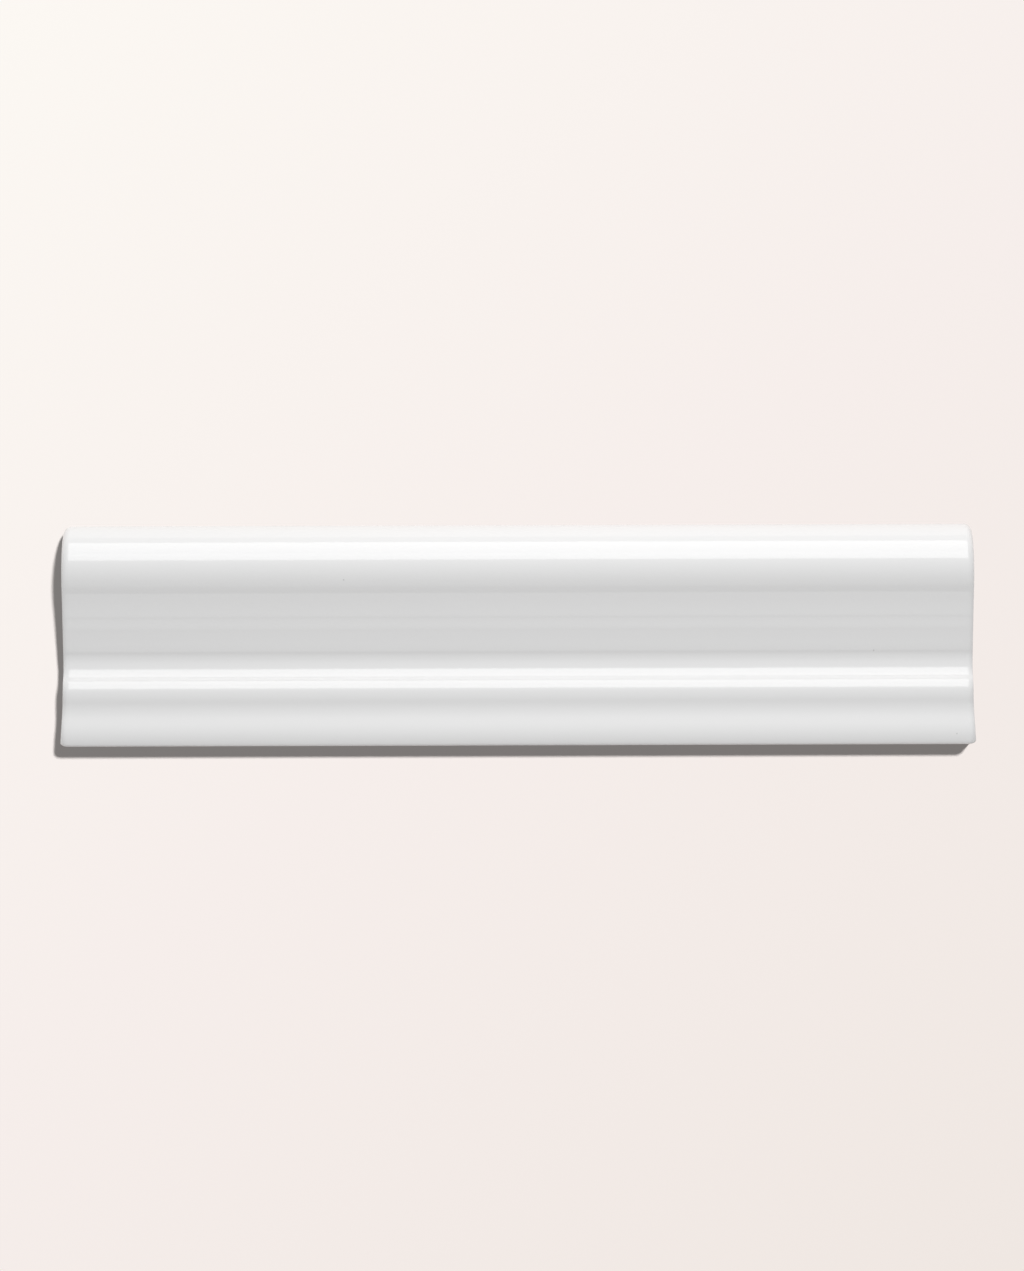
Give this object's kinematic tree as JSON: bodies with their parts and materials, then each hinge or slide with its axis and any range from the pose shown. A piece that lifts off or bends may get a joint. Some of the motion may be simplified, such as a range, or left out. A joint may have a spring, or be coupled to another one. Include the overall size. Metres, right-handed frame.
{
  "type": "dado rail tile",
  "caption": "Moulded ceramic dado rail tile in gloss white: a half-round roll, a long cove, a bead and a swelling foot run along its length, to cap a tiled wall.",
  "frame": {"origin": "middle of the back face, which lies on the floor", "axes": "+X along the rail, +Y across the face from the foot to the roll (up, once it is on a wall), +Z out from the back (away from the wall)"},
  "size_m": [0.2, 0.0482, 0.014],
  "materials": {
    "white_glaze": "gloss"
  },
  "bodies": {
    "root": {"dado_rail_tile": "white_glaze"}
  },
  "joints": []
}
